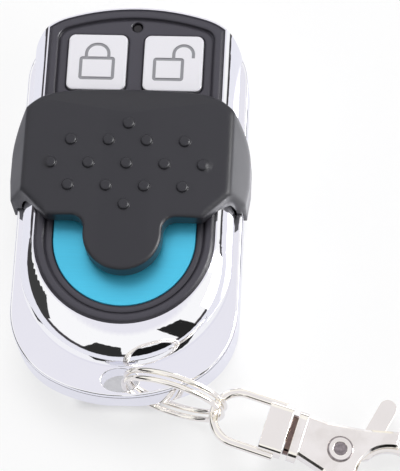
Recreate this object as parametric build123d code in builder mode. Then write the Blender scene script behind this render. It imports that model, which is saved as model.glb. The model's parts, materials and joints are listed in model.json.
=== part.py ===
"""Remote control for a garage door: chrome case with a sliding cover, on a split ring with a trigger clasp.

Millimetres. X runs across the case, +Y runs from the key ring end to the far end, +Z is up.
The origin is the middle of the flat back face.
"""
from build123d import *
from math import acos, asin, atan2, cos, degrees, dist, radians, sin, sqrt
import os

os.makedirs("parts", exist_ok=True)

# How far a cutting shape runs past the faces that it cuts
CUT_PAST = 1.0

# Case outline, seen from above
CASE_WIDTH = 38.0
NEAR_END = -33.95
FAR_END = 34.2
NEAR_CROWN_RADIUS = 25.0
NEAR_CORNER_RADIUS = 14.0
FAR_CROWN_RADIUS = 39.0
FAR_CORNER_RADIUS = 10.0

# Case heights
PARTING_HEIGHT = 8.1
LEDGE_THICKNESS = 0.9
DOME_HEIGHT = 5.8
REAR_FLOOR = 1.6
REAR_WALL = 1.7
REAR_EDGE_RADIUS = 1.1
REVEAL_HEIGHT = 0.25
REVEAL_DEPTH = 0.35
NOSE_LENGTH = 12.95
NOSE_LIFT = 2.7
CAVITY_NEAR_INSET = 11.45

# Chrome dome of the front half
LEDGE_WIDTH = 1.1
LEDGE_NEAR_WIDTH = 5.05
FOLD_FAR_INSET = 0.1
DOME_ARC = 62.0
DOME_SECTIONS = 6
DOME_LIP = 0.3
LEDGE_EDGE_RADIUS = 0.45
DOME_DROP = 0.25
DECK_THICKNESS = 1.0
FRONT_WALL = 3.55

# Black panel in the top of the dome
DOME_RUN = 2.85
DOME_NEAR_RUN = 5.65
PANEL_FAR_INSET = 0.5
PANEL_THICKNESS = 1.9
PANEL_FIT = 0.05
PANEL_EDGE_STEP = 0.4
PANEL_EDGE_DROP = 0.35
RIM_WIDTH = 1.65
RIM_EDGE = 0.12
FIELD_DROP = 0.45
FIELD_CORNER = 2.2
GROOVE_WIDTH = 0.35
GROOVE_DROP = 0.25

# Blue accent plate
ACCENT_INSET = 3.15
ACCENT_NEAR_INSET = 3.2
ACCENT_FAR_END = 4.6
ACCENT_THICKNESS = 0.8
ACCENT_DROP = 0.6
ACCENT_GAP = 0.15
ACCENT_EDGE = 0.12

# Push buttons
BUTTON_WIDTH = 10.2
BUTTON_LENGTH = 10.4
BUTTON_CORNER = 1.2
BUTTON_COLUMN = 6.5
UPPER_ROW_INSET = 10.65
ROW_PITCH = 11.6
BUTTON_GAP = 0.12
BUTTON_STAND = 0.05
BUTTON_EDGE_RADIUS = 0.3
LUG_REACH = 0.7
LUG_LENGTH = 6.0
LUG_THICKNESS = 0.9
LUG_CLEARANCE = 0.05
STEM_DIAMETER = 3.0
SYMBOL_DEPTH = 0.15
SYMBOL_LINE = 0.55
LOCK_WIDTH = 6.1
LOCK_HEIGHT = 4.3
LOCK_Y = -1.15
SHACKLE_WIDTH = 4.4
SHACKLE_RISE = 2.6
SHACKLE_CORNER = 2.1
OPEN_LOCK_X = -0.8
OPEN_LOCK_WIDTH = 5.3
OPEN_SHACKLE_WIDTH = 3.9
OPEN_SHACKLE_CORNER = 1.9
OPEN_SHACKLE_SHIFT = 2.5
BOLT_POINTS = ((0.6, 2.7), (-1.9, -0.5), (-0.2, -0.5), (-0.6, -2.7), (1.9, 0.5), (0.2, 0.5))
BELL_RADIUS = 1.5
BELL_CROWN_Y = 0.8
BELL_SKIRT = 1.8
BELL_RIM_Y = -1.15
BELL_RIM_WIDTH = 4.4
BELL_RIM_HEIGHT = 0.5
CLAPPER_Y = -2.2
CLAPPER_RADIUS = 0.5

# Circuit board and what it carries
BOARD_DROP = 1.7
BOARD_THICKNESS = 1.0
BOARD_GAP = 0.4
BOARD_NEAR_END = -2.8
BOARD_REST_X = 6.0
BOARD_REST_WIDTH = 3.0
BOARD_REST_LENGTH = 1.6
SWITCH_SIZE = 4.5
SWITCH_HEIGHT = 2.0
SWITCH_COVER = 0.2
PLUNGER_DIAMETER = 1.9
PLUNGER_REACH = 0.7
PLUNGER_DEPTH = 0.6
PLUNGER_GAP = 0.1
SNAP_DOME_DIAMETER = 3.0
SNAP_DOME_RISE = 0.3
SNAP_DOME_THICKNESS = 0.12
SNAP_DOME_GAP = 0.35

CHIP_Y = 3.6
CHIP_WIDTH = 3.9
CHIP_LENGTH = 4.9
CHIP_HEIGHT = 1.4
CHIP_LEG = 0.15
CHIP_LEG_REACH = 1.0
CHIP_LEG_WIDTH = 0.4
CHIP_PITCH = 1.27
RESONATOR_Y = 12.0
RESONATOR_WIDTH = 3.8
RESONATOR_LENGTH = 5.0
RESONATOR_HEIGHT = 1.4
RESONATOR_CORNER = 0.6
SIDE_PART_INSET = 8.1
TRIMMER_DIAMETER = 3.8
TRIMMER_HEIGHT = 1.5
TRIMMER_SLOT = 3.0
TRANSISTOR_WIDTH = 1.6
TRANSISTOR_LENGTH = 2.9
TRANSISTOR_HEIGHT = 1.0
SMALL_PART_PITCH = 2.4
SMALL_PART_LENGTH = 1.6
SMALL_PART_WIDTH = 0.8
SMALL_PART_HEIGHT = 0.5
ANTENNA_INSET = 5.2
ANTENNA_WIDTH = 0.8
ANTENNA_NEAR_END = 9.0
ANTENNA_THICKNESS = 0.1

# Status lamp
LAMP_INSET = 3.8
LAMP_HOLE = 1.9
LAMP_GAP = 0.06
LAMP_DROP = 0.9
LAMP_WIDTH = 1.2
LAMP_LENGTH = 2.0
LAMP_HEIGHT = 0.9
LAMP_FLANGE = 0.7

# Battery, a small 12 V cell lying across the case
CELL_DIAMETER = 8.0
CELL_LENGTH = 28.2
CELL_Y = -8.0
CELL_HEIGHT = 5.8
CELL_FIT = 0.05
NUB_DIAMETER = 4.0
NUB_LENGTH = 0.8
CONTACT_THICKNESS = 0.3
CONTACT_WIDTH = 7.0
CONTACT_WALL = 1.0
CONTACT_WALL_WIDTH = 8.0
CONTACT_TOP = 7.6
CONTACT_TAB = 1.4
CELL_EDGE = 0.3
SADDLE_X = 9.0
SADDLE_THICKNESS = 1.2
SADDLE_LENGTH = 10.0
SADDLE_TOP = 4.8

# Case screws
SCREW_DIAMETER = 1.5
SCREW_HEAD = 2.8
SCREW_HEAD_HEIGHT = 0.9
SCREW_HOLE = 1.8
SCREW_SINK = 1.2
SCREW_SINK_DIAMETER = 3.2
SCREW_LENGTH = 9.6
FAR_SCREW_SIDE_INSET = 5.9
FAR_SCREW_INSET = 5.0
NEAR_SCREW_INSET = 9.05
FRONT_BOSS_DIAMETER = 3.0
BOSS_GAP = 0.1
REAR_BOSS_DIAMETER = 3.8
RECESS_SPAN = 1.7
RECESS_WIDTH = 0.4
RECESS_DEPTH = 0.4

# Oval hole for the key ring
EYELET_X = 0.2
EYELET_INSET = 2.8
EYELET_LENGTH = 6.3
EYELET_WIDTH = 4.0
EYELET_RIM = 0.2
EYELET_RELIEF_LONG = 4.8
EYELET_RELIEF_SHORT = 3.0
EYELET_RELIEF_TOP = 5.1

# Sliding cover
COVER_FAR_END = 17.6
COVER_FAR_CROWN = 95.0
COVER_CORNER = 10.5
COVER_SKIRT = 1.1
COVER_LEAN = 2.95
COVER_HEADROOM = 0.5
COVER_ROOF = 3.2
COVER_CROWN = 0.45
COVER_SIDE_DROP = 7.1
COVER_SKIRT_DEPTH = 2.0
COVER_GAP = 0.15
DOME_CLEARANCE = 0.3
COVER_NEAR_END = -5.7
COVER_SKIRT_NEAR_END = -1.4
COVER_FACET_RUN = 4.3
SKIRT_TAPER = 0.5
SKIRT_TAPER_LENGTH = 4.0
COVER_POCKET_INSET = 1.6
COVER_POCKET_DEPTH = 1.5
COVER_ROLL_RADIUS = 9.0
COVER_ROLL_LENGTH = 5.0
COVER_EDGE = 0.6
TONGUE_HALF_WIDTH = 6.55
TONGUE_TIP = -15.2
TONGUE_FILLET = 2.2
COVER_BEND = 0.8
DOT_DIAMETER = 2.0
DOT_HEIGHT = 0.5
DOT_EDGE = 0.4
DOT_PITCH = 6.35
DOT_ROWS = ((10.7, 1), (7.65, 4), (3.5, 5), (-0.5, 4), (-3.8, 1))
LIP_REACH = 0.75
LIP_THICKNESS = 0.9
LIP_NEAR_END = 0.4
LIP_FAR_END = 6.4
TRAVEL_NEAR = 12.0
TRAVEL_FAR = 12.4
TRACK_GAP = 0.15
TRACK_END_GAP = 0.1

# Split ring, standing on edge, two turns of round wire
RING_RADIUS = 8.45
RING_WIRE = 0.95
RING_PITCH = 1.4
RING_POINTS = 720
RING_STEP_ANGLE = 50.0
RING_STEP_PLACE = -142.0
CHAIN_ANGLE = -15.0
RING_TIP_X = 0.9
RING_TIP_Y = -0.1

# Clasp, drawn in its own plane: first value along it, second across it
CLASP_TILT = 8.0
EYE_HEIGHT = 7.2
EYE_EDGE = 0.7
EYE_LENGTH = 12.0
EYE_HALF_WIDTH = 5.1
EYE_BAR = 1.5
EYE_RING_GAP = 0.12
EYE_BLOCK_START = 9.3
EYE_BLOCK_LENGTH = 3.9
EYE_BLOCK_HALF_WIDTH = 4.2
EYE_BLOCK_THICKNESS = 4.2
EYE_BLOCK_EDGE = 1.2
POST_DIAMETER = 2.4
POST_GAP = 0.08
POST_HEAD_DIAMETER = 3.2
POST_HEAD_LENGTH = 1.0
POST_HEAD_SINK = 1.2
SWIVEL_GAP = 0.2
COLLAR_LENGTH = 0.9
COLLAR_HALF_WIDTH = 3.4
COLLAR_THICKNESS = 3.4
COLLAR_EDGE = 1.5
FLANGE_LENGTH = 1.5
FLANGE_HALF_WIDTH = 4.2
FLANGE_THICKNESS = 4.4
FLANGE_EDGE = 1.75
HOOK_THICKNESS = 3.4
HOOK_EDGE = 0.45
NECK_HIGH = 3.9
NECK_LOW = -2.9
HOOK_ABOVE = ((31.5, 6.2), (25.0, 4.5), (19.0, 3.7))
HOOK_BELOW = ((20.5, -4.4), (26.8, -8.6))
CLAW_X = 31.5
CLAW_Y = -2.35
CLAW_BORE = 11.2
CLAW_DIAMETER = 16.4
MOUTH_START = 34.0
MOUTH_END = 92.0
RIVET_X = 22.2
RIVET_Y = -0.05
RIVET_DIAMETER = 2.0
RIVET_HEAD = 4.3
RIVET_HEAD_HEIGHT = 0.45
RIVET_EDGE = 0.2
RIVET_DIMPLE = 2.3
RIVET_DIMPLE_DEPTH = 0.35
GATE_THICKNESS = 1.3
GATE_SLOT = 1.7
GATE_GAP = 0.25
GATE_HUB = 5.0
GATE_BAND = 3.0
GATE_END = 38.0
GATE_HEEL_HIGH = 115.0
GATE_HEEL_LOW = 150.0
TAB_WIDTH = 3.0
TAB_ROOT = (26.3, 2.5)
TAB_END = (27.8, 9.3)
SLOT_BACK = 18.9
SLOT_FLOOR = -3.2
SLOT_FRONT = 32.2
SPRING_THICKNESS = 0.3
SPRING_WIDTH = 1.2
SPRING_START = 110.0
SPRING_ARC = 110.0

# Worked-out positions
case_side = CASE_WIDTH / 2
fold_half_width = case_side - LEDGE_WIDTH
fold_centre_y = NEAR_END + LEDGE_NEAR_WIDTH + fold_half_width
panel_half_width = fold_half_width - DOME_RUN
panel_near_end = NEAR_END + LEDGE_NEAR_WIDTH + DOME_NEAR_RUN
panel_centre_y = panel_near_end + panel_half_width
accent_half_width = panel_half_width - ACCENT_INSET
accent_centre_y = panel_near_end + ACCENT_NEAR_INSET + accent_half_width
cavity_half_width = fold_half_width - FRONT_WALL
cavity_near_end = NEAR_END + CAVITY_NEAR_INSET
near_centre_y = NEAR_END + NEAR_CROWN_RADIUS
near_corner_x = case_side - NEAR_CORNER_RADIUS
near_corner_y = near_centre_y - sqrt((NEAR_CROWN_RADIUS - NEAR_CORNER_RADIUS) ** 2 - near_corner_x ** 2)
near_crown_angle = degrees(atan2(near_corner_x, near_centre_y - near_corner_y))
far_centre_y = FAR_END - FAR_CROWN_RADIUS
far_corner_x = case_side - FAR_CORNER_RADIUS
far_corner_y = far_centre_y + sqrt((FAR_CROWN_RADIUS - FAR_CORNER_RADIUS) ** 2 - far_corner_x ** 2)
far_crown_angle = degrees(atan2(far_corner_x, far_corner_y - far_centre_y))
ledge_height = PARTING_HEIGHT + LEDGE_THICKNESS
panel_top = ledge_height + DOME_HEIGHT
button_top = panel_top + BUTTON_STAND
board_height = PARTING_HEIGHT - BOARD_DROP
board_top = board_height + BOARD_THICKNESS
deck_top = panel_top - PANEL_THICKNESS
deck_bottom = deck_top - DECK_THICKNESS
field_height = panel_top - FIELD_DROP
accent_top = panel_top - ACCENT_DROP
accent_bottom = accent_top - ACCENT_THICKNESS
nose_start = NEAR_END + NOSE_LENGTH
nose_radius = (NOSE_LENGTH ** 2 + NOSE_LIFT ** 2) / (2 * NOSE_LIFT)
nose_angle = degrees(asin((NOSE_LENGTH + CUT_PAST) / nose_radius))
upper_row = FAR_END - UPPER_ROW_INSET
lower_row = upper_row - ROW_PITCH
side_part_x = case_side - SIDE_PART_INSET
side_part_y = (upper_row + lower_row) / 2
lamp_y = FAR_END - LAMP_INSET
far_screw_x = case_side - FAR_SCREW_SIDE_INSET
far_screw_y = FAR_END - FAR_SCREW_INSET
near_screw_y = NEAR_END + NEAR_SCREW_INSET
eyelet_y = NEAR_END + EYELET_INSET
button_columns = (-BUTTON_COLUMN, BUTTON_COLUMN)
button_rows = (lower_row, upper_row)
button_places = [(x, y) for y in button_rows for x in button_columns]
switch_top = board_top + SWITCH_HEIGHT
plunger_top = switch_top + SWITCH_COVER + PLUNGER_REACH
plunger_bottom = switch_top - PLUNGER_DEPTH
lug_top = deck_bottom - LUG_CLEARANCE
lug_bottom = lug_top - LUG_THICKNESS
far_screws = [(-far_screw_x, far_screw_y), (far_screw_x, far_screw_y)]
near_underside = nose_radius - sqrt(nose_radius ** 2 - (nose_start - near_screw_y) ** 2)
track_near = LIP_NEAR_END - TRAVEL_NEAR - TRACK_END_GAP
track_far = LIP_FAR_END + TRAVEL_FAR + TRACK_END_GAP
contact_wall_x = CELL_LENGTH / 2 + CONTACT_THICKNESS + CONTACT_WALL / 2
cover_half_width = case_side + COVER_GAP + COVER_SKIRT
cover_top_half_width = cover_half_width - COVER_LEAN
cover_facet_half_width = cover_top_half_width - COVER_FACET_RUN
cover_underside = panel_top + COVER_HEADROOM
cover_top = cover_underside + COVER_ROOF
cover_shoulder = cover_top - COVER_SIDE_DROP
cover_bottom = PARTING_HEIGHT - COVER_SKIRT_DEPTH
cover_corner_x = cover_half_width - COVER_CORNER
cover_crown_y = COVER_FAR_END - COVER_FAR_CROWN
cover_corner_y = cover_crown_y + sqrt((COVER_FAR_CROWN - COVER_CORNER) ** 2 - cover_corner_x ** 2)
cover_crown_angle = degrees(atan2(cover_corner_x, cover_corner_y - cover_crown_y))
skirt_inside = case_side + COVER_GAP
lip_width = LIP_REACH + COVER_SKIRT / 2
lip_x = skirt_inside - LIP_REACH + lip_width / 2
lip_y = (LIP_NEAR_END + LIP_FAR_END) / 2
roll_angle = degrees(asin((COVER_ROLL_LENGTH + CUT_PAST) / COVER_ROLL_RADIUS))
pocket_far_end = COVER_FAR_END - COVER_ROLL_LENGTH
near_screw_seat = near_underside + SCREW_SINK
dome_base = (fold_half_width, fold_centre_y, FOLD_FAR_INSET)
dome_top = (panel_half_width + DOME_LIP, panel_centre_y, PANEL_FAR_INSET - DOME_LIP)
snap_dome_base = plunger_bottom - SNAP_DOME_GAP - SNAP_DOME_RISE

# Directions and places of the key chain
up = Vector(0, 0, 1)
chain = Vector(cos(radians(CHAIN_ANGLE)), sin(radians(CHAIN_ANGLE)), 0)
ring_axis = chain.cross(up)
ring_height = RING_RADIUS + RING_WIRE / 2
ring_centre = Vector(EYELET_X + RING_TIP_X, eyelet_y + RING_TIP_Y, ring_height) + chain * RING_RADIUS
eye_bore_radius = EYE_HALF_WIDTH - EYE_BAR
wire_reach = eye_bore_radius - RING_WIRE / 2 - EYE_RING_GAP
ring_in_eye = EYE_HALF_WIDTH - sqrt(wire_reach ** 2 - (RING_PITCH / 2) ** 2)
ring_at_eye = sqrt(RING_RADIUS ** 2 - (ring_height - EYE_HEIGHT) ** 2)
clasp_origin = ring_centre + chain * (ring_at_eye - ring_in_eye) + up * (EYE_HEIGHT - ring_height)
clasp_along = chain * cos(radians(CLASP_TILT)) - up * sin(radians(CLASP_TILT))
clasp_normal = chain * sin(radians(CLASP_TILT)) + up * cos(radians(CLASP_TILT))
clasp_plane = Plane(origin=clasp_origin, x_dir=clasp_along, z_dir=clasp_normal)
block_end = EYE_BLOCK_START + EYE_BLOCK_LENGTH
collar_start = block_end + SWIVEL_GAP
flange_start = collar_start + COLLAR_LENGTH
neck_start = flange_start + FLANGE_LENGTH / 2
claw_radius = CLAW_DIAMETER / 2
claw_centre = (CLAW_X, CLAW_Y)
rivet_place = (RIVET_X, RIVET_Y)
gate_outer = claw_radius - GATE_GAP
gate_inner = gate_outer - GATE_BAND
claw_tip = (CLAW_X + CLAW_BORE / 2 * cos(radians(MOUTH_START)),
            CLAW_Y + CLAW_BORE / 2 * sin(radians(MOUTH_START)))
gate_reach = dist(claw_tip, rivet_place) - GATE_GAP
spring_inner = GATE_HUB / 2 + GATE_GAP
mouth_corners = [(2 * claw_radius * cos(radians(angle)), 2 * claw_radius * sin(radians(angle)))
                 for angle in (MOUTH_START, MOUTH_END)]


def case_shape(inset):
    """The case outline, moved inward by inset."""
    with BuildSketch() as shape:
        with BuildLine():
            CenterArc((0, near_centre_y), NEAR_CROWN_RADIUS - inset, -90, near_crown_angle)
            CenterArc((near_corner_x, near_corner_y), NEAR_CORNER_RADIUS - inset,
                      near_crown_angle - 90, 90 - near_crown_angle)
            Line((case_side - inset, near_corner_y), (case_side - inset, far_corner_y))
            CenterArc((far_corner_x, far_corner_y), FAR_CORNER_RADIUS - inset, 0, 90 - far_crown_angle)
            CenterArc((0, far_centre_y), FAR_CROWN_RADIUS - inset, 90 - far_crown_angle, far_crown_angle)
            mirror(about=Plane.YZ)
        make_face()
    return shape.sketch


def arch_shape(half_width, centre_y, far_inset):
    """A round near end and straight sides, closed by the case's far end moved inward by far_inset."""
    corner = FAR_CORNER_RADIUS - far_inset
    start = degrees(acos((half_width - far_corner_x) / corner))
    with BuildSketch() as shape:
        with BuildLine():
            CenterArc((0, centre_y), half_width, -90, 90)
            Line((half_width, centre_y), (half_width, far_corner_y + corner * sin(radians(start))))
            CenterArc((far_corner_x, far_corner_y), corner, start, 90 - far_crown_angle - start)
            CenterArc((0, far_centre_y), FAR_CROWN_RADIUS - far_inset, 90 - far_crown_angle, far_crown_angle)
            mirror(about=Plane.YZ)
        make_face()
    return shape.sketch


def panel_band(inset):
    """The panel outline moved inward by inset."""
    return arch_shape(panel_half_width - inset, panel_centre_y, PANEL_FAR_INSET + inset)


def field_shape(inset):
    """The panel outline moved inward by inset, with its two far corners rounded."""
    with BuildSketch() as shape:
        add(panel_band(inset + FIELD_CORNER))
        offset(amount=FIELD_CORNER)
    return shape.sketch


def accent_shape(gap):
    """The accent plate outline, grown by gap: a round near end and a straight far end."""
    half_width = accent_half_width + gap
    with BuildSketch() as shape:
        with BuildLine():
            CenterArc((0, accent_centre_y), half_width, -90, 90)
            Polyline((half_width, accent_centre_y), (half_width, ACCENT_FAR_END + gap),
                     (0, ACCENT_FAR_END + gap))
            mirror(about=Plane.YZ)
        make_face()
    return shape.sketch


def dome_sections(low, high, base, top):
    """Heights, half-widths, near centres and far insets up a dome whose side is a circular arc.

    base and top hold a half-width, the near end's centre and the far inset.
    """
    rise = sin(radians(DOME_ARC))
    run = 1 - cos(radians(DOME_ARC))
    for step in range(DOME_SECTIONS):
        angle = radians(DOME_ARC) * step / (DOME_SECTIONS - 1)
        height = low + (high - low) * sin(angle) / rise
        share = (1 - cos(angle)) / run
        yield height, [a + (b - a) * share for a, b in zip(base, top)]


# The dome's side in cross section, one clearance away from it
dome_side = [(shape[0] + DOME_CLEARANCE, height + DOME_CLEARANCE)
             for height, shape in dome_sections(ledge_height, panel_top - DOME_DROP, dome_base, dome_top)]


def ring_point(angle, offset, radius=RING_RADIUS):
    """A point on the split ring: angle in degrees up from the chain's direction, offset along its axis."""
    return ring_centre + chain * radius * cos(radians(angle)) + up * radius * sin(radians(angle)) \
        + ring_axis * offset


def ring_tangent(angle):
    """The direction of the wire at an angle of the ring."""
    return up * cos(radians(angle)) - chain * sin(radians(angle))


def lock_symbol(centre_x, width, shackle_width, shackle_corner, shackle_shift):
    """A padlock in outline, centred on centre_x, with its shackle moved sideways by shackle_shift."""
    body_top = LOCK_Y + LOCK_HEIGHT / 2
    with BuildSketch() as symbol:
        with Locations((centre_x + shackle_shift, body_top)):
            RectangleRounded(shackle_width, 2 * SHACKLE_RISE, shackle_corner)
            RectangleRounded(shackle_width - 2 * SYMBOL_LINE, 2 * (SHACKLE_RISE - SYMBOL_LINE),
                             shackle_corner - SYMBOL_LINE, mode=Mode.SUBTRACT)
        with Locations((0, body_top - SHACKLE_RISE)):
            Rectangle(4 * width, 2 * SHACKLE_RISE, mode=Mode.SUBTRACT)
        with Locations((centre_x, LOCK_Y)):
            RectangleRounded(width, LOCK_HEIGHT, SYMBOL_LINE)
            Rectangle(width - 2 * SYMBOL_LINE, LOCK_HEIGHT - 2 * SYMBOL_LINE, mode=Mode.SUBTRACT)
    return symbol.sketch


def bolt_symbol():
    """A lightning bolt."""
    with BuildSketch() as symbol:
        Polygon(*BOLT_POINTS, align=None)
    return symbol.sketch


def bell_symbol():
    """A bell with its clapper."""
    with BuildSketch() as symbol:
        with Locations((0, BELL_CROWN_Y)):
            Circle(BELL_RADIUS)
        Rectangle(2 * BELL_RADIUS, BELL_SKIRT)
        with Locations((0, BELL_RIM_Y)):
            Rectangle(BELL_RIM_WIDTH, BELL_RIM_HEIGHT)
        with Locations((0, CLAPPER_Y)):
            Circle(CLAPPER_RADIUS)
    return symbol.sketch


# Oval bore of the eyelet and the flare below it, made about the hole's centre
with BuildPart() as eyelet_bore:
    with BuildSketch():
        Ellipse(EYELET_LENGTH / 2, EYELET_WIDTH / 2)
    extrude(amount=ledge_height + CUT_PAST)

with BuildPart() as eyelet_relief:
    with BuildSketch(Plane.XY.offset(EYELET_RELIEF_TOP)):
        Ellipse(EYELET_LENGTH / 2, EYELET_WIDTH / 2)
    with BuildSketch():
        Ellipse(EYELET_LENGTH / 2 + EYELET_RELIEF_LONG, EYELET_WIDTH / 2 + EYELET_RELIEF_SHORT)
    loft()

# Rear half of the case, with a fine reveal under the front half
with BuildPart() as rear_housing:
    with BuildSketch():
        add(case_shape(0))
    extrude(amount=PARTING_HEIGHT)
    with BuildSketch(Plane.YZ):
        with BuildLine():
            nose = CenterArc((nose_start, nose_radius), nose_radius, 270 - nose_angle, nose_angle)
            Polyline(nose @ 1, (nose_start, -CUT_PAST), ((nose @ 0).X, -CUT_PAST), nose @ 0)
        make_face()
    extrude(amount=CASE_WIDTH, both=True, mode=Mode.SUBTRACT)
    outline_edges = rear_housing.edges().filter_by(lambda edge: edge.center().Z < NOSE_LIFT)
    fillet(outline_edges.filter_by(Axis.X, reverse=True), REAR_EDGE_RADIUS)
    with BuildSketch(Plane.XY.offset(PARTING_HEIGHT - REVEAL_HEIGHT)):
        add(case_shape(-CUT_PAST))
        add(case_shape(REVEAL_DEPTH), mode=Mode.SUBTRACT)
    extrude(amount=REVEAL_HEIGHT, mode=Mode.SUBTRACT)
    with BuildSketch(Plane.XY.offset(REAR_FLOOR)):
        add(arch_shape(case_side - REAR_WALL, cavity_near_end + case_side - REAR_WALL, REAR_WALL))
    extrude(amount=PARTING_HEIGHT, mode=Mode.SUBTRACT)
    with BuildSketch(Plane.XY.offset(REAR_FLOOR)):
        with Locations(*far_screws):
            Circle(REAR_BOSS_DIAMETER / 2)
        with GridLocations(2 * BOARD_REST_X, 1, 2, 1):
            with Locations((0, BOARD_NEAR_END + BOARD_REST_LENGTH)):
                Rectangle(BOARD_REST_WIDTH, BOARD_REST_LENGTH)
    extrude(amount=board_height - REAR_FLOOR)
    with BuildSketch(Plane.XY.offset(REAR_FLOOR)):
        with Locations((-SADDLE_X, CELL_Y), (SADDLE_X, CELL_Y)):
            Rectangle(SADDLE_THICKNESS, SADDLE_LENGTH)
    extrude(amount=SADDLE_TOP - REAR_FLOOR)
    with BuildSketch(Plane.XY.offset(REAR_FLOOR)):
        with Locations((-contact_wall_x, CELL_Y), (contact_wall_x, CELL_Y)):
            Rectangle(CONTACT_WALL, CONTACT_WALL_WIDTH)
    extrude(amount=CONTACT_TOP - REAR_FLOOR)
    with BuildSketch(Plane.YZ.offset(-CELL_LENGTH / 2)):
        with Locations((CELL_Y, CELL_HEIGHT)):
            Circle(CELL_DIAMETER / 2 + CELL_FIT)
    extrude(amount=CELL_LENGTH, mode=Mode.SUBTRACT)
    with Locations(*[(x, y, 0) for x, y in far_screws]):
        Cylinder(SCREW_HOLE / 2, 2 * board_top, mode=Mode.SUBTRACT)
        Cylinder(SCREW_SINK_DIAMETER / 2, 2 * SCREW_SINK, mode=Mode.SUBTRACT)
    with BuildSketch(Plane.XY.offset(board_top)):
        with Locations(*far_screws):
            Circle(FRONT_BOSS_DIAMETER / 2 + BOSS_GAP)
    extrude(amount=PARTING_HEIGHT, mode=Mode.SUBTRACT)
    with Locations((0, near_screw_y, 0)):
        Cylinder(SCREW_HOLE / 2, 2 * (PARTING_HEIGHT + CUT_PAST), mode=Mode.SUBTRACT)
        Cylinder(SCREW_SINK_DIAMETER / 2, 2 * (near_underside + SCREW_SINK), mode=Mode.SUBTRACT)
    with Locations((EYELET_X, eyelet_y, 0)):
        add(eyelet_bore.part, mode=Mode.SUBTRACT)
        add(eyelet_relief.part, mode=Mode.SUBTRACT)
    for side in (-1, 1):
        with BuildSketch(Plane.XY.offset(cover_bottom - TRACK_GAP)):
            with Locations((side * case_side, (track_near + track_far) / 2)):
                Rectangle(2 * (LIP_REACH - COVER_GAP + TRACK_GAP), track_far - track_near)
        extrude(amount=LIP_THICKNESS + 2 * TRACK_GAP, mode=Mode.SUBTRACT)
rear_housing.part.label = "rear_housing"

# Front half of the case: a ledge, a dome and the deck that carries the panel
with BuildPart() as front_housing:
    with BuildSketch(Plane.XY.offset(PARTING_HEIGHT)):
        add(case_shape(0))
    extrude(amount=ledge_height - PARTING_HEIGHT)
    fillet(front_housing.faces().sort_by(Axis.Z)[-1].edges(), LEDGE_EDGE_RADIUS)
    for height, shape in dome_sections(ledge_height, panel_top - DOME_DROP, dome_base, dome_top):
        with BuildSketch(Plane.XY.offset(height)):
            add(arch_shape(*shape))
    loft()
    with BuildSketch(Plane.XY.offset(ledge_height - LEDGE_EDGE_RADIUS)):
        add(arch_shape(*dome_base))
    extrude(amount=LEDGE_EDGE_RADIUS)
    with BuildSketch(Plane.XY.offset(deck_top)):
        add(arch_shape(panel_half_width + PANEL_FIT, panel_centre_y, PANEL_FAR_INSET - PANEL_FIT))
    extrude(amount=PANEL_THICKNESS, mode=Mode.SUBTRACT)
    with BuildSketch(Plane.XY.offset(PARTING_HEIGHT)):
        add(arch_shape(cavity_half_width, cavity_near_end + cavity_half_width, REAR_WALL))
    extrude(amount=deck_bottom - PARTING_HEIGHT, mode=Mode.SUBTRACT)
    with BuildSketch(Plane.XY.offset(board_top)):
        with Locations(*far_screws):
            Circle(FRONT_BOSS_DIAMETER / 2)
    extrude(amount=deck_bottom - board_top)
    with BuildSketch(Plane.XY.offset(deck_bottom)):
        with Locations(*button_places):
            RectangleRounded(BUTTON_WIDTH + 2 * BUTTON_GAP, BUTTON_LENGTH + 2 * BUTTON_GAP, BUTTON_CORNER)
        with Locations((0, lamp_y)):
            Circle(LAMP_HOLE / 2)
    extrude(amount=DECK_THICKNESS, mode=Mode.SUBTRACT)
    with Locations(*[(x, y, SCREW_SINK) for x, y in far_screws]):
        Cylinder(SCREW_DIAMETER / 2, SCREW_LENGTH, align=(Align.CENTER, Align.CENTER, Align.MIN),
                 mode=Mode.SUBTRACT)
    with Locations((0, near_screw_y, near_underside + SCREW_SINK)):
        Cylinder(SCREW_DIAMETER / 2, SCREW_LENGTH, align=(Align.CENTER, Align.CENTER, Align.MIN),
                 mode=Mode.SUBTRACT)
    with Locations((EYELET_X, eyelet_y, 0)):
        add(eyelet_bore.part, mode=Mode.SUBTRACT)
    fillet(front_housing.edges().sort_by_distance((EYELET_X, eyelet_y, ledge_height))[0], EYELET_RIM)
front_housing.part.label = "front_housing"

# Black panel: an edge step, a raised rim, a fine groove and the field with its windows
with BuildPart() as front_panel:
    with BuildSketch(Plane.XY.offset(deck_top)):
        add(arch_shape(panel_half_width, panel_centre_y, PANEL_FAR_INSET))
    extrude(amount=PANEL_THICKNESS - PANEL_EDGE_DROP)
    with BuildSketch(Plane.XY.offset(panel_top - PANEL_EDGE_DROP)):
        add(panel_band(PANEL_EDGE_STEP))
    extrude(amount=PANEL_EDGE_DROP)
    chamfer(front_panel.faces().sort_by(Axis.Z)[-1].edges(), RIM_EDGE)
    with BuildSketch(Plane.XY.offset(field_height)):
        add(field_shape(RIM_WIDTH))
    extrude(amount=FIELD_DROP, mode=Mode.SUBTRACT)
    with BuildSketch(Plane.XY.offset(field_height - GROOVE_DROP)):
        add(field_shape(RIM_WIDTH))
        add(field_shape(RIM_WIDTH + GROOVE_WIDTH), mode=Mode.SUBTRACT)
    extrude(amount=GROOVE_DROP, mode=Mode.SUBTRACT)
    with BuildSketch(Plane.XY.offset(accent_bottom)):
        add(accent_shape(ACCENT_GAP))
    extrude(amount=PANEL_THICKNESS, mode=Mode.SUBTRACT)
    with BuildSketch(Plane.XY.offset(deck_top)):
        with Locations(*button_places):
            RectangleRounded(BUTTON_WIDTH + 2 * BUTTON_GAP, BUTTON_LENGTH + 2 * BUTTON_GAP, BUTTON_CORNER)
        with Locations((0, lamp_y)):
            Circle(LAMP_HOLE / 2)
    extrude(amount=PANEL_THICKNESS, mode=Mode.SUBTRACT)
front_panel.part.label = "front_panel"

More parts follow.
